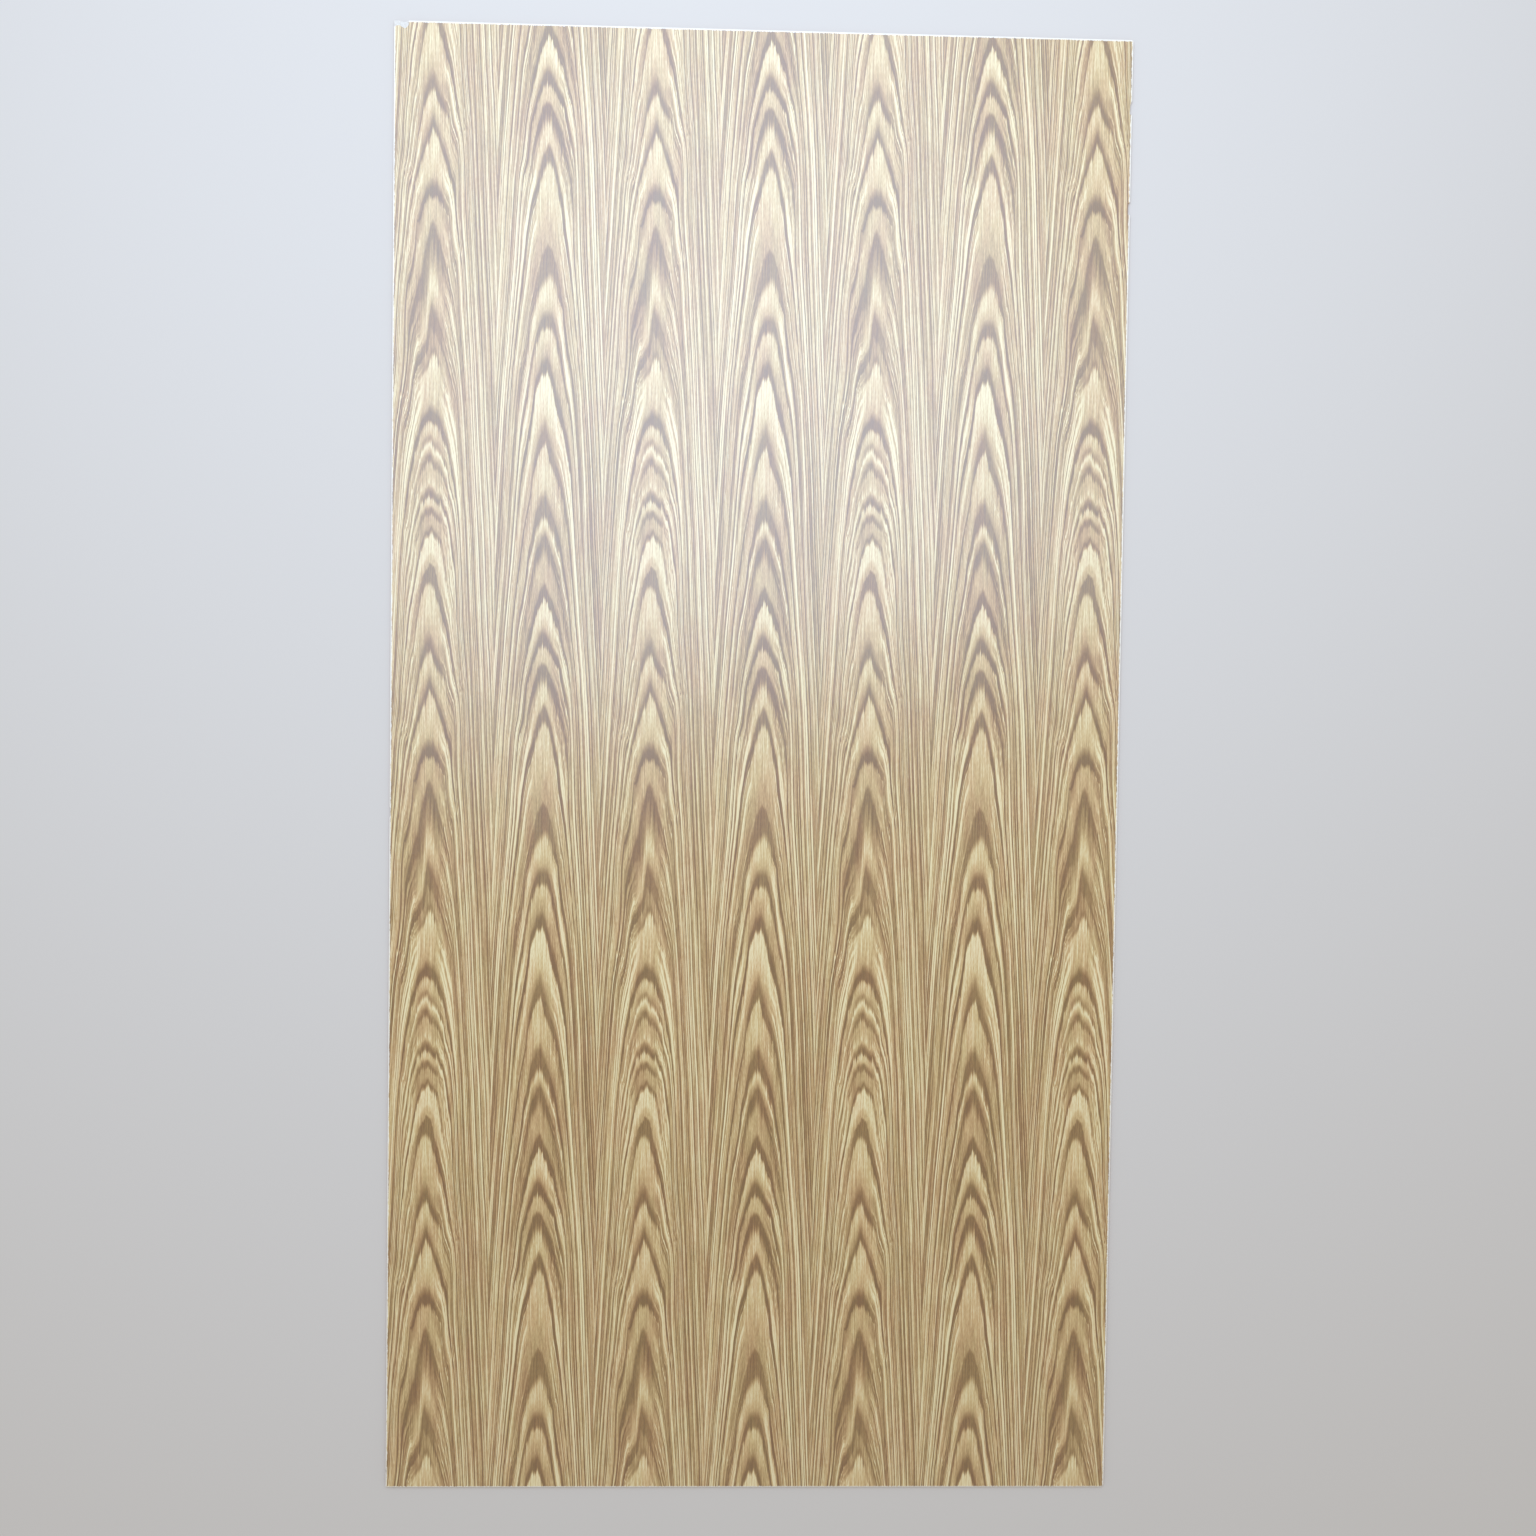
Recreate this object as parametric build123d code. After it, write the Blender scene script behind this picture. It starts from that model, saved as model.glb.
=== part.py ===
"""One full plywood sheet, 8 by 4 feet, lying flat with its show face up.

The sheet is one solid. It carries what has happened to it in the yard: bumped
corners, eased arrises, places knocked out of its long edges, a crushed spot in
the top edge and a corner where the show face has torn away.

Millimetres. The origin is the middle of the back face. +X runs across the
sheet to its right-hand edge, +Y runs along the sheet to its top edge, and +Z
points out of the show face.
"""

from build123d import *

import os

# Size of the sheet
SHEET_WIDTH = 1220.0
SHEET_LENGTH = 2440.0
SHEET_THICKNESS = 5.2

# Corners in plan, worn round by handling
TOP_LEFT_CORNER = 1.0
TOP_RIGHT_CORNER = 3.5
BOTTOM_LEFT_CORNER = 1.8
BOTTOM_RIGHT_CORNER = 5.0

# Easing of the long and short arrises, across and into the sheet
SHOW_ARRIS = 0.45
BACK_ARRIS = 0.3

# First place knocked out of the right-hand edge, near the top
UPPER_NICK_FROM_TOP = 99.5
UPPER_NICK_LENGTH = 25.0
UPPER_NICK_DEPTH = 3.2
UPPER_NICK_LOW_END_DEPTH = 3.7
UPPER_NICK_TOP_SLOPE = 5.5
UPPER_NICK_LOW_SLOPE = 3.2

# Second place in the right-hand edge, squarer and lower down
LOWER_NICK_FROM_TOP = 266.0
LOWER_NICK_LENGTH = 22.0
LOWER_NICK_DEPTH = 3.1
LOWER_NICK_LOW_END_DEPTH = 3.4
LOWER_NICK_TOP_SLOPE = 2.4
LOWER_NICK_LOW_SLOPE = 1.2

# Shallow place in the left-hand edge, about half way down
LEFT_NICK_FROM_TOP = 1290.6
LEFT_NICK_LENGTH = 18.6
LEFT_NICK_DEPTH = 1.6
LEFT_NICK_LOW_END_DEPTH = 1.3
LEFT_NICK_TOP_SLOPE = 1.6
LEFT_NICK_LOW_SLOPE = 3.0

# Chip at the foot of the left-hand edge
FOOT_CHIP_FROM_BOTTOM = 30.5
FOOT_CHIP_LENGTH = 8.0
FOOT_CHIP_DEPTH = 0.9
FOOT_CHIP_LOW_END_DEPTH = 0.6
FOOT_CHIP_TOP_SLOPE = 2.0
FOOT_CHIP_LOW_SLOPE = 3.0

# Crushed spot in the top edge, beside the top left corner
CRUSH_FROM_LEFT = 6.0
CRUSH_DEEPEST_FROM_START = 10.8
CRUSH_LENGTH = 19.5
CRUSH_DEPTH = 2.4

# Show face torn away at the top left corner, down to the wood below it
TEAR_WIDTH = 22.8
TEAR_HEIGHT_AT_EDGE = 10.4
TEAR_HEIGHT_INSIDE = 12.6
TEAR_TONGUE_FROM_LEFT = 8.5
TEAR_TONGUE_HEIGHT = 8.2
TEAR_DEPTH = 0.6

# Cutting tools stand this far clear of the sheet
CLEAR = 5.0

LEFT = -SHEET_WIDTH / 2
RIGHT = SHEET_WIDTH / 2
BOTTOM = -SHEET_LENGTH / 2
TOP = SHEET_LENGTH / 2


def panel_outline():
    """The sheet in plan, with its four worn corners."""
    sheet = Rectangle(SHEET_WIDTH, SHEET_LENGTH)
    corners = [
        (LEFT, TOP, TOP_LEFT_CORNER),
        (RIGHT, TOP, TOP_RIGHT_CORNER),
        (LEFT, BOTTOM, BOTTOM_LEFT_CORNER),
        (RIGHT, BOTTOM, BOTTOM_RIGHT_CORNER),
    ]
    for x, y, radius in corners:
        corner = sheet.vertices().sort_by_distance(Vector(x, y))[0]
        sheet = fillet(corner, radius)
    return sheet


def knocked_out(edge_x, inward, start_y, length, depth, low_depth, top_slope, low_slope):
    """A bite out of a long edge: a sloped start, a floor and a sloped end."""
    outside = edge_x - inward * CLEAR
    floor_top = edge_x + inward * depth
    floor_low = edge_x + inward * low_depth
    end_y = start_y - length
    return make_face(
        Polyline(
            (outside, start_y),
            (edge_x, start_y),
            (floor_top, start_y - top_slope),
            (floor_low, end_y + low_slope),
            (edge_x, end_y),
            (outside, end_y),
            close=True,
        ).edges()
    )


def edge_damage():
    """All the bites out of the two long edges."""
    upper = knocked_out(
        RIGHT,
        -1,
        TOP - UPPER_NICK_FROM_TOP,
        UPPER_NICK_LENGTH,
        UPPER_NICK_DEPTH,
        UPPER_NICK_LOW_END_DEPTH,
        UPPER_NICK_TOP_SLOPE,
        UPPER_NICK_LOW_SLOPE,
    )
    lower = knocked_out(
        RIGHT,
        -1,
        TOP - LOWER_NICK_FROM_TOP,
        LOWER_NICK_LENGTH,
        LOWER_NICK_DEPTH,
        LOWER_NICK_LOW_END_DEPTH,
        LOWER_NICK_TOP_SLOPE,
        LOWER_NICK_LOW_SLOPE,
    )
    left = knocked_out(
        LEFT,
        1,
        TOP - LEFT_NICK_FROM_TOP,
        LEFT_NICK_LENGTH,
        LEFT_NICK_DEPTH,
        LEFT_NICK_LOW_END_DEPTH,
        LEFT_NICK_TOP_SLOPE,
        LEFT_NICK_LOW_SLOPE,
    )
    foot = knocked_out(
        LEFT,
        1,
        BOTTOM + FOOT_CHIP_FROM_BOTTOM,
        FOOT_CHIP_LENGTH,
        FOOT_CHIP_DEPTH,
        FOOT_CHIP_LOW_END_DEPTH,
        FOOT_CHIP_TOP_SLOPE,
        FOOT_CHIP_LOW_SLOPE,
    )
    return [upper, lower, left, foot]


def crushed_spot():
    """The soft dip in the top edge, a curve that is steeper on its right."""
    start = (LEFT + CRUSH_FROM_LEFT, TOP)
    deepest = (LEFT + CRUSH_FROM_LEFT + CRUSH_DEEPEST_FROM_START, TOP - CRUSH_DEPTH)
    end = (LEFT + CRUSH_FROM_LEFT + CRUSH_LENGTH, TOP)
    dip = Spline(start, deepest, end, tangents=[(1, -0.1), (1, 0.25)])
    lid = Polyline(end, (end[0], TOP + CLEAR), (start[0], TOP + CLEAR), start)
    return make_face([dip, *lid.edges()])


def torn_corner():
    """Where the show face has lifted off, with one tongue of it left standing."""
    right = LEFT + TEAR_WIDTH
    tongue = LEFT + TEAR_TONGUE_FROM_LEFT
    torn_edge = Spline(
        (LEFT - CLEAR, TOP - TEAR_HEIGHT_AT_EDGE),
        (LEFT, TOP - TEAR_HEIGHT_AT_EDGE),
        (tongue, TOP - TEAR_TONGUE_HEIGHT),
        (right - CLEAR, TOP - TEAR_HEIGHT_INSIDE),
        (right, TOP - TEAR_TONGUE_HEIGHT),
        (right, TOP),
    )
    lid = Polyline(
        (right, TOP),
        (right, TOP + CLEAR),
        (LEFT - CLEAR, TOP + CLEAR),
        (LEFT - CLEAR, TOP - TEAR_HEIGHT_AT_EDGE),
    )
    plan = make_face([torn_edge, *lid.edges()])
    tear = extrude(plan, CLEAR)
    return Pos(0, 0, SHEET_THICKNESS - TEAR_DEPTH) * tear


def through(plan):
    """A cutter of this plan that passes clear through the sheet."""
    return Pos(0, 0, -CLEAR) * extrude(plan, SHEET_THICKNESS + 2 * CLEAR)


def eased_panel():
    """The whole sheet as sold, back face down, with its arrises rubbed round."""
    panel = extrude(panel_outline(), SHEET_THICKNESS)
    show_face = panel.faces().sort_by(Axis.Z)[-1]
    panel = fillet(show_face.edges(), SHOW_ARRIS)
    back_face = panel.faces().sort_by(Axis.Z)[0]
    return fillet(back_face.edges(), BACK_ARRIS)


def plywood_sheet():
    """The sheet as it stands in the yard, one solid with its damage cut out."""
    sheet = eased_panel()
    for bite in edge_damage():
        sheet = sheet - through(bite)
    sheet = sheet - through(crushed_spot())
    return sheet - torn_corner()


os.makedirs("parts", exist_ok=True)
export_step(plywood_sheet(), "parts/plywood_sheet.step")
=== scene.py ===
"""Dresses a full sheet of decorated plywood: printed oak show face, three-ply edges, veneer back.

The sheet lies flat, show face up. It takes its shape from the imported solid, and gets its finish
here. The oak print is drawn by nodes: two columns of pointed arches, side by side, that repeat
across and along the sheet as the printing cylinder turned.
"""

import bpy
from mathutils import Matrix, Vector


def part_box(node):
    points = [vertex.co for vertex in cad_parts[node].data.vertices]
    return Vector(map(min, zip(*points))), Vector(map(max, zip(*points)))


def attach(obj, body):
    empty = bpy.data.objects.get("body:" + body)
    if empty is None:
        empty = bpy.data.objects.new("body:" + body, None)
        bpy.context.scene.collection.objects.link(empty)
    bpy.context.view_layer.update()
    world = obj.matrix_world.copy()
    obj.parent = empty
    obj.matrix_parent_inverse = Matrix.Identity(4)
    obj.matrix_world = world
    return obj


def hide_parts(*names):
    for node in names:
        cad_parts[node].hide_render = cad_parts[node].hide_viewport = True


bl_info = {
    "name": "Decorated plywood sheet",
    "version": (1, 0, 0),
    "blender": (4, 5, 0),
    "location": "3D View > Sidebar > Plywood",
    "description": "Dresses a full sheet of oak-print plywood and lights it on a plain floor",
    "category": "Object",
}

import math
from collections import namedtuple

import bpy
from bpy.props import FloatProperty, FloatVectorProperty, PointerProperty
from mathutils import Euler

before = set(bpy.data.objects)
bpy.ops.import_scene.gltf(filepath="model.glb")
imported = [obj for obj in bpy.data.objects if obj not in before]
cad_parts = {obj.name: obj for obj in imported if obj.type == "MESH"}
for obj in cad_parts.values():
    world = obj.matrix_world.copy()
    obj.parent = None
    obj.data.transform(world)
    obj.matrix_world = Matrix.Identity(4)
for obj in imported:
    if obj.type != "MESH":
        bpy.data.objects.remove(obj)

NODE = "plywood_sheet"
BODY = "root"
MM = 0.001

# The solid's box, in metres.
LOW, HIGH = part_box(NODE)
WIDTH = HIGH.x - LOW.x
LENGTH = HIGH.y - LOW.y
THICKNESS = HIGH.z - LOW.z

# The print, in millimetres. It repeats every PRINT_WIDTH across and PRINT_LOOP along the sheet.
PRINT_WIDTH = 366.0
PRINT_LOOP = 922.0
PRINT_START = -17.0
SLIM_COLUMN = 82.0
BROAD_COLUMN = 270.5
COLUMN_SEAM = 188.0

# One growth ring, as it lies down the middle of its column. edge is where its pale wood starts,
# after dark wood of tone dark for dark_run. rise is how far it then takes to reach the tone pale,
# which it keeps for pale_run, and late its tone on the way to the next ring's dark wood. left and
# right say how far its line has dropped at each of the LANES, this far to that side of the middle.
Ring = namedtuple("Ring", "edge dark dark_run rise pale pale_run late left right")
LANES = (8, 16, 26, 40)

SLIM_RINGS = (
    Ring(107, -1.3, 12, 6, 0.9, 18, 0.1, (6, 34, 84, 170), (20, 34, 50, 105)),
    Ring(168, -1.2, 9, 6, 0.9, 45, 0.5, (28, 54, 84, 175), (21, 46, 83, 165)),
    Ring(281, -1.4, 13, 5, 0.7, 15, 0.4, (0, 15, 48, 150), (2, 14, 32, 130)),
    Ring(344, -1.2, 16, 65, 0.85, 10, 0.85, (46, 110, 140, 230), (22, 58, 88, 150)),
    Ring(424, 0.85, 1, 1, 0.85, 2, 0.4, (78, 92, 108, 200), (16, 38, 76, 140)),
    Ring(496, -1.05, 32, 6, -0.2, 20, -0.3, (44, 56, 76, 160), (12, 34, 64, 128)),
    Ring(538, -0.7, 8, 8, 0.95, 50, 0.5, (26, 36, 56, 145), (6, 26, 62, 126)),
    Ring(648, -1.3, 15, 5, 0.8, 10, 0.5, (4, 20, 57, 145), (10, 20, 49, 122)),
    Ring(682, -0.5, 5, 4, 1.3, 5, 0.2, (5, 25, 60, 138), (16, 22, 47, 112)),
    Ring(713, -0.95, 7, 6, 0.5, 15, 1.0, (6, 24, 56, 125), (16, 24, 47, 114)),
    Ring(773, -1.15, 8, 5, 0.9, 8, 0.5, (4, 17, 46, 130), (6, 14, 32, 125)),
    Ring(802, -1.05, 8, 5, 0.3, 12, -0.1, (3, 18, 44, 162), (6, 15, 38, 150)),
    Ring(834, -1.15, 6, 4, 1.2, 24, 0.6, (7, 29, 84, 192), (7, 18, 88, 178)),
    Ring(878, 0.4, 1, 1, 0.4, 3, 0.2, (14, 38, 94, 202), (18, 50, 88, 172)),
    Ring(914, -1.15, 28, 6, 0.9, 45, 0.4, (4, 23, 108, 215), (22, 42, 78, 162)),
)

BROAD_RINGS = (
    Ring(15, -1.3, 20, 4, 1.2, 26, 0.5, (20, 48, 92, 190), (18, 33, 60, 124)),
    Ring(94, -1.35, 14, 6, 0.7, 14, 0.4, (5, 31, 68, 164), (6, 20, 42, 114)),
    Ring(146, -1.4, 16, 18, 0.9, 14, 0.7, (7, 33, 88, 172), (12, 32, 64, 150)),
    Ring(220, -1.25, 18, 8, 0.9, 30, 0.5, (20, 50, 90, 200), (10, 58, 116, 196)),
    Ring(345, 0.2, 1, 1, 0.2, 3, 0.1, (18, 48, 94, 190), (14, 42, 94, 184)),
    Ring(406, -1.1, 45, 16, 1.0, 20, 0.4, (13, 32, 70, 172), (1, 17, 57, 162)),
    Ring(490, -1.25, 15, 8, 0.9, 15, 0.3, (3, 28, 84, 174), (4, 20, 74, 150)),
    Ring(567, -1.35, 15, 4, 1.3, 28, 0.7, (6, 35, 107, 184), (10, 57, 85, 162)),
    Ring(681, -1.15, 20, 6, 0.95, 40, 0.6, (12, 36, 107, 196), (33, 56, 86, 168)),
    Ring(802, -1.15, 26, 10, 1.1, 5, 0.2, (4, 24, 72, 174), (16, 33, 70, 155)),
    Ring(856, -1.25, 17, 16, 0.4, 28, 0.3, (14, 37, 90, 184), (20, 38, 68, 146)),
)

# The plain arch, which every ring follows beyond the lanes: how far its line has dropped, this far
# to the side of its middle.
ARCH = ((0, 0), (20, 45), (40, 155), (50, 270), (60, 420), (70, 595), (90, 980), (110, 1410), (150, 2440))

# Where a ring's late tone lies, as a share of the way from its pale wood to the next dark wood.
LATE_AT = 0.6

# A curve runs from 0 to 1 both ways. These are the tones and millimetres that its ends stand for.
TONE_REACH = 2.0
LANE_LEAST = -20.0
LANE_MOST = 240.0
SIDE_REACH = 150.0
DROP_REACH = 2440.0

# Beyond the last lane, the traced drops ease into the plain arch over this many millimetres.
ARCH_EASE = 34.0

# Whole turns of the print that are added before a share of a turn is taken, so it is never below 0.
SPARE_TURNS = 8.0


class Number:
    """A number that changes over the surface: a node's output, with plain arithmetic."""

    def __init__(self, tree, socket):
        self.tree = tree
        self.socket = socket

    def __add__(self, other):
        return calc(self.tree, "ADD", self, other)

    def __radd__(self, other):
        return calc(self.tree, "ADD", other, self)

    def __sub__(self, other):
        return calc(self.tree, "SUBTRACT", self, other)

    def __rsub__(self, other):
        return calc(self.tree, "SUBTRACT", other, self)

    def __mul__(self, other):
        return calc(self.tree, "MULTIPLY", self, other)

    def __truediv__(self, other):
        return calc(self.tree, "DIVIDE", self, other)

    def __abs__(self):
        return calc(self.tree, "ABSOLUTE", self)


def fill(tree, socket, value):
    """Give a socket its value, or join it to the output that it takes."""
    if isinstance(value, Number):
        value = value.socket
    if isinstance(value, bpy.types.NodeSocket):
        tree.links.new(value, socket)
    elif value is not None:
        socket.default_value = value


def add(tree, kind, inputs=None, **settings):
    """Add a node with its settings, and fill its sockets by name or number."""
    made = tree.nodes.new(kind)
    for name, value in settings.items():
        setattr(made, name, value)
    for name, value in (inputs or {}).items():
        fill(tree, made.inputs[name], value)
    return made


def calc(tree, operation, *values):
    """One step of arithmetic."""
    made = add(tree, "ShaderNodeMath", dict(enumerate(values)), operation=operation)
    return Number(tree, made.outputs[0])


def clamped(value, low, high):
    """value, where it lies from low to high, as a share from 0 to 1."""
    tree = value.tree
    made = add(tree, "ShaderNodeMapRange", {"Value": value, "From Min": low, "From Max": high})
    return Number(tree, made.outputs[0])


def eased(value, low, high):
    """As clamped, but with a soft start and end."""
    tree = value.tree
    wanted = {"Value": value, "From Min": low, "From Max": high}
    made = add(tree, "ShaderNodeMapRange", wanted, interpolation_type="SMOOTHSTEP")
    return Number(tree, made.outputs[0])


def blended(tree, share, first, second):
    """From first to second, as share goes from 0 to 1."""
    made = add(tree, "ShaderNodeMix", {0: share, 2: first, 3: second}, data_type="FLOAT")
    return Number(tree, made.outputs[0])


def tinted(tree, share, first, second, kind="MIX"):
    """From one colour to another, as share goes from 0 to 1. A plain colour is red, green and blue."""
    ends = {6: whole_colour(first), 7: whole_colour(second)}
    made = add(tree, "ShaderNodeMix", {0: share, **ends}, data_type="RGBA", blend_type=kind)
    return made.outputs[2]


def whole_colour(colour):
    """A node's output as it is, and a plain colour with the fourth number that its socket takes."""
    return colour if isinstance(colour, bpy.types.NodeSocket) else (*colour, 1.0)


def trace(curve, points, handle):
    """Lay a curve through points, which run from 0 to 1 both ways."""
    for at, value in points[1:-1]:
        curve.points.new(at, value)
    curve.points[0].location = points[0]
    curve.points[-1].location = points[-1]
    for point in curve.points:
        point.handle_type = handle


def curve_of(tree, value, points, handle="VECTOR"):
    """value read off a curve."""
    made = add(tree, "ShaderNodeFloatCurve", {"Value": value})
    trace(made.mapping.curves[0], points, handle)
    made.mapping.update()
    return Number(tree, made.outputs[0])


def shader_group(name, inputs, outputs):
    """A new node group with plain number sockets, its input numbers by name, and its output node."""
    tree = bpy.data.node_groups.new(name, "ShaderNodeTree")
    for label, default in inputs:
        socket = tree.interface.new_socket(label, in_out="INPUT", socket_type="NodeSocketFloat")
        socket.default_value = default
    for label in outputs:
        tree.interface.new_socket(label, in_out="OUTPUT", socket_type="NodeSocketFloat")
    source = tree.nodes.new("NodeGroupInput")
    result = tree.nodes.new("NodeGroupOutput")
    numbers = {label: Number(tree, source.outputs[label]) for label, _ in inputs}
    return tree, numbers, result


def use(tree, group, **inputs):
    """Place a node group, with its inputs given by name, an underscore for each space."""
    made = add(tree, "ShaderNodeGroup", node_tree=group)
    for name, value in inputs.items():
        fill(tree, made.inputs[name.replace("_", " ")], value)
    return {socket.name: Number(tree, socket) for socket in made.outputs}


def ring_curve(rings):
    """The tone down the middle of a column, as points of a curve over one turn of the print."""
    points = []
    for ring, after in zip(rings, rings[1:] + rings[:1]):
        end = after.edge if after.edge > ring.edge else after.edge + PRINT_LOOP
        pale_from = ring.edge + ring.rise
        pale_to = pale_from + ring.pale_run
        dark_from = end - after.dark_run
        late_at = pale_to + LATE_AT * (dark_from - pale_to)
        points += [
            (pale_from, ring.pale),
            (pale_to, ring.pale),
            (late_at, ring.late),
            (dark_from, after.dark),
            (end, after.dark),
        ]
    return looped(points, TONE_REACH, -TONE_REACH)


def looped(points, high, low):
    """Points of a loop, as a curve over one turn that ends as it starts, from 0 to 1 both ways."""
    turned = sorted((at % PRINT_LOOP, value) for at, value in points)
    first, last = turned[0], turned[-1]
    gap = first[0] + PRINT_LOOP - last[0]
    seam = last[1] + (first[1] - last[1]) * (PRINT_LOOP - last[0]) / gap
    inside = [(at, value) for at, value in turned if 0 < at < PRINT_LOOP]
    whole = [(0.0, seam), *inside, (PRINT_LOOP, seam)]
    return [(at / PRINT_LOOP, (value - low) / (high - low)) for at, value in whole]


def lane_drops(tree, share, rings, side):
    """How far the lines have dropped at each lane on one side, this far down one turn of the print."""
    tables = []
    for number in range(len(LANES)):
        drops = [getattr(ring, side)[number] for ring in rings]
        points = [(ring.edge + drop, drop) for ring, drop in zip(rings, drops)]
        tables.append(looped(points, LANE_MOST, LANE_LEAST))
    three = add(tree, "ShaderNodeRGBCurve", {"Color": share})
    for curve, points in zip(three.mapping.curves, tables[:3]):
        trace(curve, points, "VECTOR")
    three.mapping.update()
    near = add(tree, "ShaderNodeSeparateXYZ", {0: three.outputs[0]}).outputs
    return [Number(tree, out) for out in near] + [curve_of(tree, share, tables[3], "AUTO_CLAMPED")]


def traced_drop(tree, side, off, along, broad):
    """How far the line that passes here has dropped from the middle of its column."""
    share = calc(tree, "FRACT", along / PRINT_LOOP + SPARE_TURNS)
    right = calc(tree, "GREATER_THAN", side, 0.0)
    columns = []
    for rings in (SLIM_RINGS, BROAD_RINGS):
        lefts = lane_drops(tree, share, rings, "left")
        rights = lane_drops(tree, share, rings, "right")
        columns.append([blended(tree, right, *pair) for pair in zip(lefts, rights)])
    drop = -LANE_LEAST / (LANE_MOST - LANE_LEAST)
    inner = 0.0
    for lane, slim_drop, broad_drop in zip(LANES, *columns):
        lane_drop = blended(tree, broad, slim_drop, broad_drop)
        drop = blended(tree, clamped(off, inner, lane), drop, lane_drop)
        inner = lane
    drop = drop * (LANE_MOST - LANE_LEAST) + LANE_LEAST
    plain = plain_drop(tree, off)
    last = dict(ARCH)[LANES[-1]]
    beyond = plain + (drop - last) * (1.0 - eased(off, LANES[-1], LANES[-1] + ARCH_EASE))
    return blended(tree, calc(tree, "GREATER_THAN", off, LANES[-1]), drop, beyond)


def turn_place(tree, across, along, width, length):
    """A place for a noise that closes up after one turn of the print, in grains of this size."""
    angle = along * (2 * math.pi / PRINT_LOOP)
    reach = PRINT_LOOP / (2 * math.pi * length)
    parts = {
        0: across / width,
        1: calc(tree, "COSINE", angle) * reach,
        2: calc(tree, "SINE", angle) * reach,
    }
    return add(tree, "ShaderNodeCombineXYZ", parts).outputs[0]


def streaks(tree, across, along, width, length, start):
    """Soft streaks of this width and length in mm, mostly between -1 and 1. start picks a field."""
    place = turn_place(tree, across + start * width, along, width, length)
    noise = add(
        tree,
        "ShaderNodeTexNoise",
        {"Vector": place, "Scale": 1.0, "Detail": 0.0},
        noise_dimensions="3D",
    )
    return (Number(tree, noise.outputs[0]) - 0.5) * STREAK_GAIN


# Width and length of each kind of streak in the print, in millimetres.
BOW = (120, 240)
SWAY = (9, 70)
FINE = (1.3, 50)
MID = (5, 90)
PORES = (0.9, 7)

# How far the streaks push the lines about, in millimetres.
BOW_PUSH = 0.8
SWAY_PUSH = 0.7
FINE_DRIFT = 2.0
MID_DRIFT = 1.5

# Widths of the flank lines, measured down the sheet in millimetres, and how far along and across it
# they stay alike.
NARROW_LINE = 6.5
MIDDLING_LINE = 16.0
WIDE_LINE = 30.0
LINE_LENGTH = 330.0
LINE_SHIFT = 70.0

# Over these distances from the middle of a column the sway dies out, the ring tones thin, the flank
# lines come in, and their narrow lines give way to wide ones.
SWAY_ENDS = (14.0, 40.0)
TONE_THINS = (4.0, 17.0)
FLANK_STARTS = (13.0, 32.0)
FAR_STARTS = (30.0, 62.0)

# A noise lies close round a half. These stretch it, so that it mostly runs from -1 to 1 or past it.
STREAK_GAIN = 7.0
LINE_GAIN = 10.0
GRAIN_GAIN = 5.0
LINE_LIFT = 0.14

# The two columns, and the three kinds of flank line, take noise this far apart.
COLUMN_SEED = 40.0
LINE_SEED = 200


def make_crown_figure():
    """The print: from millimetres across and along the sheet to the tone of the oak."""
    tree, given, result = shader_group(
        "crown figure",
        [("Across", 0.0), ("Along", 0.0)],
        ["Tone", "Fine"],
    )
    along = given["Along"]
    turned = calc(tree, "FLOORED_MODULO", given["Across"] - PRINT_START, PRINT_WIDTH)
    broad = calc(tree, "GREATER_THAN", turned, COLUMN_SEAM)
    middle = blended(tree, broad, SLIM_COLUMN, BROAD_COLUMN)
    seed = broad * COLUMN_SEED
    straight = turned - middle

    bow = streaks(tree, straight, along, *BOW, seed)
    sway = streaks(tree, straight, along, *SWAY, seed + 29.0)
    calm = 1.0 - clamped(abs(straight), *SWAY_ENDS)
    side = straight + bow * BOW_PUSH + sway * calm * SWAY_PUSH
    off = abs(side)

    fine = streaks(tree, straight, along, *FINE, seed + 3.0)
    mid = streaks(tree, straight, along, *MID, seed + 7.0)
    drift = fine * FINE_DRIFT + mid * MID_DRIFT
    phase = along + drift
    phase = phase - traced_drop(tree, side, off, phase, broad)

    turn = calc(tree, "FRACT", phase / PRINT_LOOP + SPARE_TURNS)
    tones = [curve_of(tree, turn, ring_curve(rings)) for rings in (SLIM_RINGS, BROAD_RINGS)]
    tone = blended(tree, broad, *tones) * (2 * TONE_REACH) - TONE_REACH

    flank = clamped(off, *FLANK_STARTS)
    far = clamped(off, *FAR_STARTS)
    place = straight + seed * 10
    calmer = phase - fine * FINE_DRIFT
    narrow = flank_lines(tree, calmer, along, place, NARROW_LINE) * (1.0 - far)
    middling = flank_lines(tree, calmer, along, place + LINE_SEED, MIDDLING_LINE)
    wide = flank_lines(tree, calmer, along, place + 2 * LINE_SEED, WIDE_LINE) * far
    fans = narrow + wide
    bright = clamped(fans, 0.0, 1.0) * clamped(middling, 0.0, 1.0)
    lines = fans * 0.6 + middling * 0.6 + bright * 0.5
    pores = streaks(tree, straight, along, *PORES, seed + 23.0)
    thin = tone * abs(tone) * 0.8
    tone = blended(tree, clamped(off, *TONE_THINS), tone, thin)
    tone = tone + flank * lines + fine * 0.28 + pores * 0.13
    fill(tree, result.inputs["Tone"], tone)
    fill(tree, result.inputs["Fine"], fine)
    return tree


def plain_drop(tree, off):
    """How far the plain arch has dropped, this far from its middle."""
    points = [(at / SIDE_REACH, drop / DROP_REACH) for at, drop in ARCH]
    return curve_of(tree, off / SIDE_REACH, points, "AUTO_CLAMPED") * DROP_REACH


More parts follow.
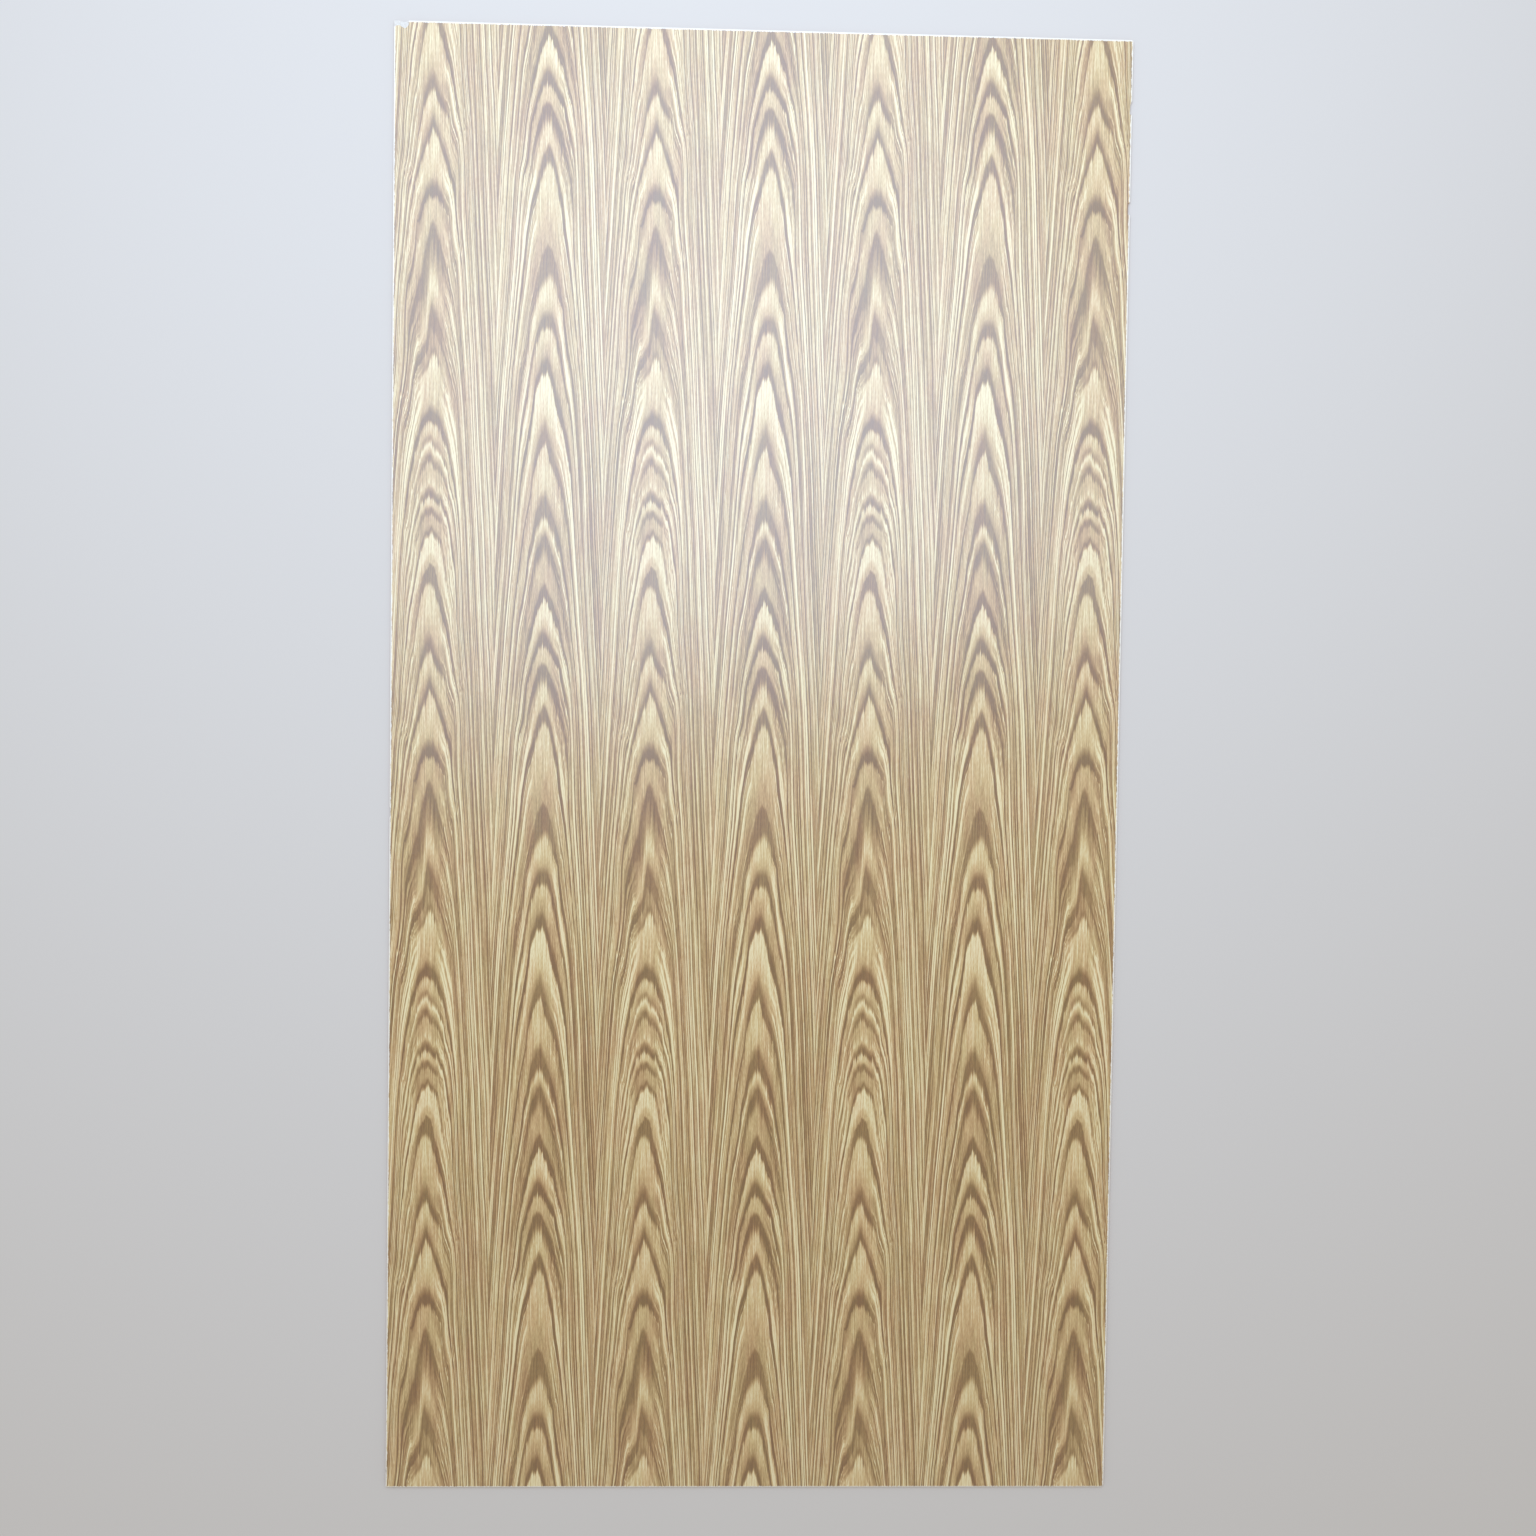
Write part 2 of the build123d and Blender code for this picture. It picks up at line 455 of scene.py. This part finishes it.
def flank_lines(tree, phase, along, across, width):
    """Lines that run down with the arches, where they are steep, and change slowly on the way."""
    turn = phase * (2 * math.pi / PRINT_LOOP)
    angle = along * (2 * math.pi / PRINT_LOOP)
    reach = PRINT_LOOP / (2 * math.pi * width)
    slow = PRINT_LOOP / (2 * math.pi * LINE_LENGTH)
    parts = {
        0: calc(tree, "COSINE", turn) * reach + across / LINE_SHIFT,
        1: calc(tree, "SINE", turn) * reach,
        2: calc(tree, "COSINE", angle) * slow,
    }
    place = add(tree, "ShaderNodeCombineXYZ", parts).outputs[0]
    noise = add(
        tree,
        "ShaderNodeTexNoise",
        {"Vector": place, "W": calc(tree, "SINE", angle) * slow, "Scale": 1.0, "Detail": 0.0},
        noise_dimensions="4D",
    )
    lines = (Number(tree, noise.outputs[0]) - 0.5) * LINE_GAIN
    return clamped(lines + LINE_LIFT, -1.0, 1.0) * 2.0 - 1.0


def new_material(name):
    """A material with its Principled shader, and millimetres from the top left of the sheet."""
    material = bpy.data.materials.new(name)
    material.use_nodes = True
    tree = material.node_tree
    shader = tree.nodes["Principled BSDF"]
    place = add(tree, "ShaderNodeTexCoord").outputs["Object"]
    spot = add(tree, "ShaderNodeMapping", {"Vector": place})
    spot.inputs["Scale"].default_value = (1 / MM, -1 / MM, 1 / MM)
    spot.inputs["Location"].default_value = (-LOW.x / MM, HIGH.y / MM, 0.0)
    parts = add(tree, "ShaderNodeSeparateXYZ", {0: spot.outputs[0]})
    return material, tree, shader, [Number(tree, out) for out in parts.outputs]


def ramp_of(tree, value, stops):
    """A colour read off a ramp with these (place, colour) stops."""
    made = add(tree, "ShaderNodeValToRGB", {0: value})
    ramp = made.color_ramp
    while len(ramp.elements) < len(stops):
        ramp.elements.new(0.5)
    for element, (at, colour) in zip(ramp.elements, stops):
        element.position = at
        element.color = whole_colour(colour)
    return made.outputs[0]


def make_grain_group():
    """Streaks of grain of any size, mostly from -1 to 1, for every wood that isn't printed."""
    tree, given, result = shader_group(
        "grain streaks",
        [("Across", 0.0), ("Along", 0.0), ("Width", 1.0), ("Length", 20.0)],
        ["Streak"],
    )
    parts = {0: given["Across"] / given["Width"], 1: given["Along"] / given["Length"]}
    place = add(tree, "ShaderNodeCombineXYZ", parts).outputs[0]
    noise = add(tree, "ShaderNodeTexNoise", {"Vector": place, "Scale": 1.0, "Detail": 2.0})
    fill(tree, result.inputs["Streak"], (Number(tree, noise.outputs[0]) - 0.5) * GRAIN_GAIN)
    return tree


def relief(tree, shader, height, distance, strength=1.0):
    """Let height, in shares of a distance in metres, show as fine relief."""
    wanted = {"Height": height, "Distance": distance, "Strength": strength}
    fill(tree, shader.inputs["Normal"], add(tree, "ShaderNodeBump", wanted).outputs[0])


# Tones from here up are early wood at its palest, and from as far below 0 late wood at its darkest.
TONE_LIMIT = 1.5

# How far in from the edge the white rim reaches, in millimetres: along the top edge, and how much
# less along the long edges and the bottom one. The rim is partly rubbed-off print and partly a
# painted highlight of light catching the arris, broadest along the top edge.
RIM = 2.9
RIM_LESS_AT_SIDES = 0.5
RIM_LESS_AT_FOOT = 1.4


def make_print_material(settings, figure, grain):
    """The printed and varnished oak of the show face, pale along its rims: partly rubbed-off print,
    partly a painted highlight on the arris.
    """
    material, tree, shader, (across, along, _) = new_material("oak print")
    drawn = use(tree, figure, Across=across, Along=along)
    tone = clamped(drawn["Tone"], -TONE_LIMIT, TONE_LIMIT)
    stops = [
        (0.0, settings.darkest),
        (0.25, settings.dark),
        (0.5, settings.middle),
        (0.75, settings.pale),
        (1.0, settings.palest),
    ]
    colour = ramp_of(tree, tone, stops)
    blush = use(tree, grain, Across=across, Along=along, Width=24.0, Length=110.0)["Streak"]
    blush = clamped(blush, -0.5, 0.6) * (1.0 - tone * 0.75)
    colour = tinted(tree, blush, colour, settings.blush, "MULTIPLY")

    sides = calc(tree, "MINIMUM", across, WIDTH / MM - across)
    foot = LENGTH / MM - along
    ends = calc(tree, "MINIMUM", along, foot + RIM_LESS_AT_FOOT)
    rim = calc(tree, "MINIMUM", sides + RIM_LESS_AT_SIDES, ends)
    flecks = use(tree, grain, Across=across, Along=along, Width=3.0, Length=9.0)["Streak"]
    chips = use(tree, grain, Across=across, Along=along, Width=0.7, Length=2.0)["Streak"]
    # The pale rim is partly print rubbed off and partly a painted highlight where light catches the
    # arris.
    rim_wear_and_glint = clamped(flecks * 0.7 + chips * 0.35 + RIM - rim, 0.0, 0.9)
    colour = tinted(tree, rim_wear_and_glint * 0.9, colour, settings.rim_wear_and_glint)
    fill(tree, shader.inputs["Base Color"], colour)

    shader.inputs["Specular IOR Level"].default_value = 0.9
    shader.inputs["Coat Weight"].default_value = 1.0
    shader.inputs["Coat IOR"].default_value = 1.6
    shader.inputs["Coat Roughness"].default_value = 0.3
    fill(tree, shader.inputs["Roughness"], drawn["Fine"] * 0.02 + rim_wear_and_glint * 0.3 + 0.36)
    pores = use(tree, grain, Across=across, Along=along, Width=0.9, Length=12.0)["Streak"]
    relief(tree, shader, pores, 0.04 * MM)
    return material


# A face that looks at least this much to one side is part of a long edge.
LOOKS_SIDEWAYS = 0.7

# Across a glue line, in millimetres from its middle: where it starts to pale and where it ends.
GLUE_LINE = (0.03, 0.12)

# How far below the show face the printed paper ends on the edge, in millimetres: the two ends of
# its soft lower limit.
PAPER_LIMIT = (0.22, 0.12)


def make_edge_material(settings, grain):
    """The sawn edge: paper, face ply, cross-grained core and back ply, one above the other."""
    material, tree, shader, (across, along, height) = new_material("ply edge")
    facing = add(tree, "ShaderNodeNewGeometry").outputs["Normal"]
    turned = add(tree, "ShaderNodeSeparateXYZ", {0: facing}).outputs[0]
    long_edge = calc(tree, "GREATER_THAN", abs(Number(tree, turned)), LOOKS_SIDEWAYS)
    run = blended(tree, long_edge, across, along)

    waver = use(tree, grain, Across=run, Along=0.0, Width=30.0, Length=1.0)["Streak"]
    level = height + waver * 0.07
    core = calc(tree, "GREATER_THAN", level, settings.back_ply / MM)
    core = core * calc(tree, "LESS_THAN", level, THICKNESS / MM - settings.face_ply / MM)
    glue = abs(level - settings.back_ply / MM)
    other = abs(level - (THICKNESS - settings.face_ply) / MM)
    glue = 1.0 - clamped(calc(tree, "MINIMUM", glue, other), *GLUE_LINE)
    paper = clamped(height, *(THICKNESS / MM - below for below in PAPER_LIMIT))

    end_grain = abs(core - (1.0 - long_edge))
    pores = use(tree, grain, Across=run, Along=level, Width=0.5, Length=0.5)["Streak"]
    fibres = use(tree, grain, Across=level, Along=run, Width=0.35, Length=9.0)["Streak"]
    tone = blended(tree, end_grain, fibres * 0.6, pores) * 0.5 + 0.5
    broad = use(tree, grain, Across=run, Along=level * 4.0, Width=45.0, Length=45.0)["Streak"]
    tone = tone + broad * 0.2

    plies = tinted(tree, tone, settings.face_dark, settings.face_pale)
    middle = tinted(tree, tone, settings.core_dark, settings.core_pale)
    colour = tinted(tree, core, plies, middle)
    colour = tinted(tree, glue * 0.65, colour, settings.glue)
    colour = tinted(tree, paper, colour, settings.paper)
    fill(tree, shader.inputs["Base Color"], colour)
    shader.inputs["Roughness"].default_value = 0.7
    shader.inputs["Specular IOR Level"].default_value = 0.3
    relief(tree, shader, tone - glue, 0.12 * MM, 0.8)
    return material


def make_back_material(settings, grain):
    """The plain back: one red-brown veneer, open-pored and dry."""
    material, tree, shader, (across, along, _) = new_material("back veneer")
    bow = use(tree, grain, Across=across, Along=along, Width=220.0, Length=900.0)["Streak"]
    side = across + bow * 9.0
    broad = use(tree, grain, Across=side, Along=along, Width=38.0, Length=1400.0)["Streak"]
    ribbon = use(tree, grain, Across=side, Along=along, Width=9.0, Length=420.0)["Streak"]
    pores = use(tree, grain, Across=side, Along=along, Width=0.7, Length=11.0)["Streak"]
    tone = broad * 0.22 + ribbon * 0.24 + 0.5
    colour = tinted(tree, tone, settings.dark, settings.pale)
    holes = clamped(pores, 0.45, 1.2)
    colour = tinted(tree, holes * 0.75, colour, settings.pores)
    fill(tree, shader.inputs["Base Color"], colour)
    fill(tree, shader.inputs["Roughness"], 0.74 + holes * 0.15)
    shader.inputs["Specular IOR Level"].default_value = 0.3
    relief(tree, shader, ribbon * 0.2 - holes, 0.2 * MM, 0.7)
    return material


def make_torn_material(settings, grain):
    """Bare wood where the face has torn off: pale, furry, with a few grey specks."""
    material, tree, shader, (across, along, _) = new_material("torn wood")
    fibres = use(tree, grain, Across=across, Along=along, Width=0.5, Length=5.0)["Streak"]
    specks = use(tree, grain, Across=across, Along=along, Width=1.1, Length=1.4)["Streak"]
    colour = tinted(tree, fibres * 0.5 + 0.5, settings.torn_dark, settings.torn)
    colour = tinted(tree, clamped(specks, 0.75, 1.1) * 0.6, colour, settings.torn_speck)
    fill(tree, shader.inputs["Base Color"], colour)
    shader.inputs["Roughness"].default_value = 0.6
    shader.inputs["Specular IOR Level"].default_value = 0.6
    relief(tree, shader, fibres, 0.3 * MM)
    return material


# The floor, in metres: its side, and the distances over which it pales into the room.
FLOOR_SIDE = 120.0
FLOOR_FADE = (1.8, 7.5)
FAR_FLOOR = (1.0, 1.0, 1.0)


def make_floor_material(settings):
    """The floor, which pales with distance until it meets the light of the room with no line."""
    material, tree, shader, _ = new_material("floor")
    place = add(tree, "ShaderNodeTexCoord").outputs["Object"]
    away = add(tree, "ShaderNodeVectorMath", {0: place}, operation="LENGTH").outputs["Value"]
    share = eased(Number(tree, away), *FLOOR_FADE)
    colour = tinted(tree, share, settings.floor_colour, FAR_FLOOR)
    fill(tree, shader.inputs["Base Color"], colour)
    shader.inputs["Roughness"].default_value = 1.0
    shader.inputs["Specular IOR Level"].default_value = 0.0
    return material


def colour_property(name, description, value):
    """A colour that can be picked in the panel."""
    return FloatVectorProperty(
        name=name, description=description, subtype="COLOR", size=3, min=0.0, max=1.0, default=value
    )


def shade(red, green, blue):
    """A colour as seen on a screen, 0 to 255, in the linear numbers that shaders take."""
    parts = (part / 255.0 for part in (red, green, blue))
    return tuple(
        part / 12.92 if part <= 0.04045 else ((part + 0.055) / 1.055) ** 2.4 for part in parts
    )


def length_property(name, description, value):
    """A length that can be set in the panel, in metres."""
    return FloatProperty(
        name=name, description=description, subtype="DISTANCE", unit="LENGTH", min=0.0, default=value
    )


def strength_property(name, description, value):
    """The strength of a light, which can be set in the panel."""
    return FloatProperty(name=name, description=description, min=0.0, default=value)


class PrintSettings(bpy.types.PropertyGroup):
    """Colours of the oak print, from late wood to early wood"""

    darkest: colour_property("Darkest", "Late wood at its darkest", shade(124, 88, 25))
    dark: colour_property("Dark", "Late wood", shade(150, 113, 51))
    middle: colour_property("Middle", "Between late and early wood", shade(178, 143, 84))
    pale: colour_property("Pale", "Early wood", shade(211, 180, 118))
    palest: colour_property("Palest", "Early wood at its palest", shade(237, 220, 168))
    blush: colour_property("Blush", "Tint of the pinkish patches of the late wood", shade(255, 238, 242))
    # Colour of the pale rim: partly rubbed-off print, partly a painted highlight along the arris.
    rim_wear_and_glint: colour_property("Worn", "Rims where the print has rubbed off", shade(246, 240, 226))


class WoodSettings(bpy.types.PropertyGroup):
    """Plies and colours of the wood that isn't printed"""

    face_ply: length_property("Face ply", "Thickness of the ply below the print", 1.1 * MM)
    back_ply: length_property("Back ply", "Thickness of the ply on the back", 1.1 * MM)
    face_pale: colour_property("Face ply, pale", "Edge of the outer plies", shade(236, 206, 166))
    face_dark: colour_property("Face ply, dark", "Pores in the outer plies", shade(196, 156, 116))
    core_pale: colour_property("Core, pale", "Edge of the core", shade(206, 160, 116))
    core_dark: colour_property("Core, dark", "Pores in the core", shade(150, 106, 74))
    glue: colour_property("Glue line", "Between two plies", shade(96, 66, 46))
    paper: colour_property("Paper", "Cut edge of the printed paper", shade(238, 226, 200))
    torn: colour_property("Torn wood", "Where the face has torn off", shade(252, 249, 244))
    torn_dark: colour_property("Torn wood, dark", "Between the torn fibres", shade(232, 222, 206))
    torn_speck: colour_property("Specks", "Dirt on the torn wood", shade(150, 142, 134))
    pale: colour_property("Back, pale", "Back veneer at its palest", shade(196, 148, 112))
    dark: colour_property("Back, dark", "Back veneer at its darkest", shade(158, 108, 78))
    pores: colour_property("Back, pores", "Open pores of the back veneer", shade(104, 66, 46))


class StageSettings(bpy.types.PropertyGroup):
    """Floor and light"""

    floor_colour: colour_property("Floor", "Colour of the floor", (0.68, 0.632, 0.575))
    window_light: strength_property("Window", "Wide window at the head of the sheet", 3.8)
    room_light: strength_property("Room", "Even light of the room", 0.58)


# Corners of the solid's mesh closer than this, in metres, are one corner, and triangles that meet
# at less than this, in degrees, are one flat face.
WELD = 0.00001
FLAT_WITHIN = 0.5


def copy_sheet():
    """A copy of the sheet's solid, its loose triangles joined up, as the only selected object."""
    bpy.ops.object.select_all(action="DESELECT")
    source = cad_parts[NODE]
    mesh = source.data.copy()
    mesh.name = "dressed_sheet"
    piece = bpy.data.objects.new("dressed_sheet", mesh)
    bpy.context.scene.collection.objects.link(piece)
    piece.select_set(True)
    bpy.context.view_layer.objects.active = piece
    bpy.ops.object.mode_set(mode="EDIT")
    bpy.ops.mesh.select_all(action="SELECT")
    bpy.ops.mesh.remove_doubles(threshold=WELD)
    bpy.ops.mesh.dissolve_limited(angle_limit=math.radians(FLAT_WITHIN))
    bpy.ops.mesh.customdata_custom_splitnormals_clear()
    bpy.ops.object.mode_set(mode="OBJECT")
    bpy.ops.object.shade_flat()
    return piece


PRINT_FACE, EDGE_FACE, BACK_FACE, TORN_FACE = range(4)

# A face looks up or down from this much slope on, and below this level it is torn wood.
LEVEL_ENOUGH = 0.5
TEAR_LEVEL = HIGH.z - 0.3 * MM


def finish_of(face):
    """Which of the four finishes a face takes, by the way it looks and how high it lies."""
    if face.normal.z > LEVEL_ENOUGH:
        return TORN_FACE if face.center.z < TEAR_LEVEL else PRINT_FACE
    return BACK_FACE if face.normal.z < -LEVEL_ENOUGH else EDGE_FACE


# Strips of the flat map: where each starts and how wide it is, as shares of the square. The edges
# go by the axis that they look along and the end of it that they look to.
SHOW_STRIP = (0.006, 0.68)
BACK_STRIP = (0.695, 0.25)
EDGE_STRIPS = {(0, -1): 0.955, (0, 1): 0.966, (1, -1): 0.977, (1, 1): 0.988}
EDGE_STRIP_WIDTH = 0.007
MAP_RIM = 0.006


def flat_place(face, point):
    """Where a point of a face goes on the flat map that the finish is drawn on."""
    across = (point.x - LOW.x) / WIDTH
    along = (point.y - LOW.y) / LENGTH
    tall = 1 - 2 * MAP_RIM
    if face.material_index in (PRINT_FACE, TORN_FACE):
        start, width = SHOW_STRIP
        return start + width * across, MAP_RIM + tall * along
    if face.material_index == BACK_FACE:
        start, width = BACK_STRIP
        return start + width * (1 - across), MAP_RIM + tall * along
    axis = 0 if abs(face.normal.x) > abs(face.normal.y) else 1
    side = 1 if face.normal[axis] > 0 else -1
    run = along if axis == 0 else across
    start = EDGE_STRIPS[(axis, side)]
    return start + EDGE_STRIP_WIDTH * point.z / THICKNESS, MAP_RIM + tall * run


def lay_out_map(mesh):
    """Give the mesh its flat map: show face, back and four edges side by side."""
    for old in list(mesh.uv_layers):
        mesh.uv_layers.remove(old)
    layer = mesh.uv_layers.new(name="OFBake")
    for face in mesh.polygons:
        for corner in face.loop_indices:
            point = mesh.vertices[mesh.loops[corner].vertex_index].co
            layer.data[corner].uv = flat_place(face, point)


class PLYWOOD_OT_sheet(bpy.types.Operator):
    """Copy the sheet's solid and give its faces their finishes"""

    bl_idname = "plywood.sheet"
    bl_label = "Dress the sheet"

    def execute(self, context):
        scene = context.scene
        piece = copy_sheet()
        mesh = piece.data
        figure = make_crown_figure()
        grain = make_grain_group()
        mesh.materials.clear()
        mesh.materials.append(make_print_material(scene.plywood_print, figure, grain))
        mesh.materials.append(make_edge_material(scene.plywood_wood, grain))
        mesh.materials.append(make_back_material(scene.plywood_wood, grain))
        mesh.materials.append(make_torn_material(scene.plywood_wood, grain))
        for face in mesh.polygons:
            face.material_index = finish_of(face)
        lay_out_map(mesh)
        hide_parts(NODE)
        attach(piece, BODY)
        return {"FINISHED"}


# The camera hangs over the middle of the sheet, turned as little as the photographed view is. Its
# place is in metres and its turn in degrees. The sensor and lens are in millimetres, the reach of
# the lens in pixels of the frame.
CAMERA_PLACE = (-0.0344, 0.0608, 2.1812)
CAMERA_TURN = (-1.553, -1.391, 0.786)
SENSOR = 36.0
FRAME_PIXELS = 1536.0
LENS_PIXELS = 1300.0
CAMERA_LENS = SENSOR * LENS_PIXELS / FRAME_PIXELS

# A wide window above the head of the sheet, which the satin face mirrors over its upper half. Its
# size and place are in metres and its turn in degrees.
WINDOW_SIZE = (2.9, 3.0)
WINDOW_PLACE = (-0.2, 1.7, 2.7)
WINDOW_TURN = 12.0
WINDOW_COLOUR = (0.57, 0.735, 1.0)
ROOM_COLOUR = (1.0, 0.98, 0.95)


class PLYWOOD_OT_stage(bpy.types.Operator):
    """Lay the floor, hang the lights and point the camera"""

    bl_idname = "plywood.stage"
    bl_label = "Set the stage"

    def execute(self, context):
        scene = context.scene
        settings = scene.plywood_stage
        bpy.ops.object.select_all(action="DESELECT")
        bpy.ops.mesh.primitive_plane_add(size=FLOOR_SIDE, location=(0, 0, LOW.z))
        floor = context.active_object
        floor.name = "floor"
        floor.data.materials.append(make_floor_material(settings))

        world = bpy.data.worlds.new("studio")
        world.use_nodes = True
        sky = world.node_tree.nodes["Background"]
        sky.inputs["Color"].default_value = whole_colour(ROOM_COLOUR)
        sky.inputs["Strength"].default_value = settings.room_light
        scene.world = world

        lamp = bpy.data.lights.new("window", "AREA")
        lamp.shape = "RECTANGLE"
        lamp.size, lamp.size_y = WINDOW_SIZE
        lamp.energy = settings.window_light * math.pi * lamp.size * lamp.size_y
        lamp.color = WINDOW_COLOUR
        window = bpy.data.objects.new("window", lamp)
        window.location = WINDOW_PLACE
        window.rotation_euler.z = math.radians(WINDOW_TURN)
        scene.collection.objects.link(window)

        lens = bpy.data.cameras.new("camera")
        lens.lens = CAMERA_LENS
        lens.sensor_width = SENSOR
        camera = bpy.data.objects.new("camera", lens)
        camera.location = CAMERA_PLACE
        camera.rotation_euler = Euler([math.radians(angle) for angle in CAMERA_TURN])
        scene.collection.objects.link(camera)
        scene.camera = camera
        scene.view_settings.view_transform = "Standard"
        return {"FINISHED"}


class PLYWOOD_PT_panel(bpy.types.Panel):
    """Colours of the sheet, and buttons for its steps"""

    bl_label = "Plywood sheet"
    bl_idname = "PLYWOOD_PT_panel"
    bl_space_type = "VIEW_3D"
    bl_region_type = "UI"
    bl_category = "Plywood"

    def draw(self, context):
        scene = context.scene
        for settings in (scene.plywood_print, scene.plywood_wood, scene.plywood_stage):
            box = self.layout.box()
            for name in settings.bl_rna.properties.keys():
                if name not in ("rna_type", "name"):
                    box.prop(settings, name)
        self.layout.operator(PLYWOOD_OT_stage.bl_idname)
        self.layout.operator(PLYWOOD_OT_sheet.bl_idname)


CLASSES = (
    PrintSettings,
    WoodSettings,
    StageSettings,
    PLYWOOD_OT_stage,
    PLYWOOD_OT_sheet,
    PLYWOOD_PT_panel,
)


def register():
    for made in CLASSES:
        bpy.utils.register_class(made)
    bpy.types.Scene.plywood_print = PointerProperty(type=PrintSettings)
    bpy.types.Scene.plywood_wood = PointerProperty(type=WoodSettings)
    bpy.types.Scene.plywood_stage = PointerProperty(type=StageSettings)


def unregister():
    del bpy.types.Scene.plywood_stage
    del bpy.types.Scene.plywood_wood
    del bpy.types.Scene.plywood_print
    for made in reversed(CLASSES):
        bpy.utils.unregister_class(made)


def main():
    """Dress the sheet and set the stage."""
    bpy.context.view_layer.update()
    register()
    bpy.ops.plywood.stage()
    bpy.ops.plywood.sheet()


if __name__ == "__main__":
    main()
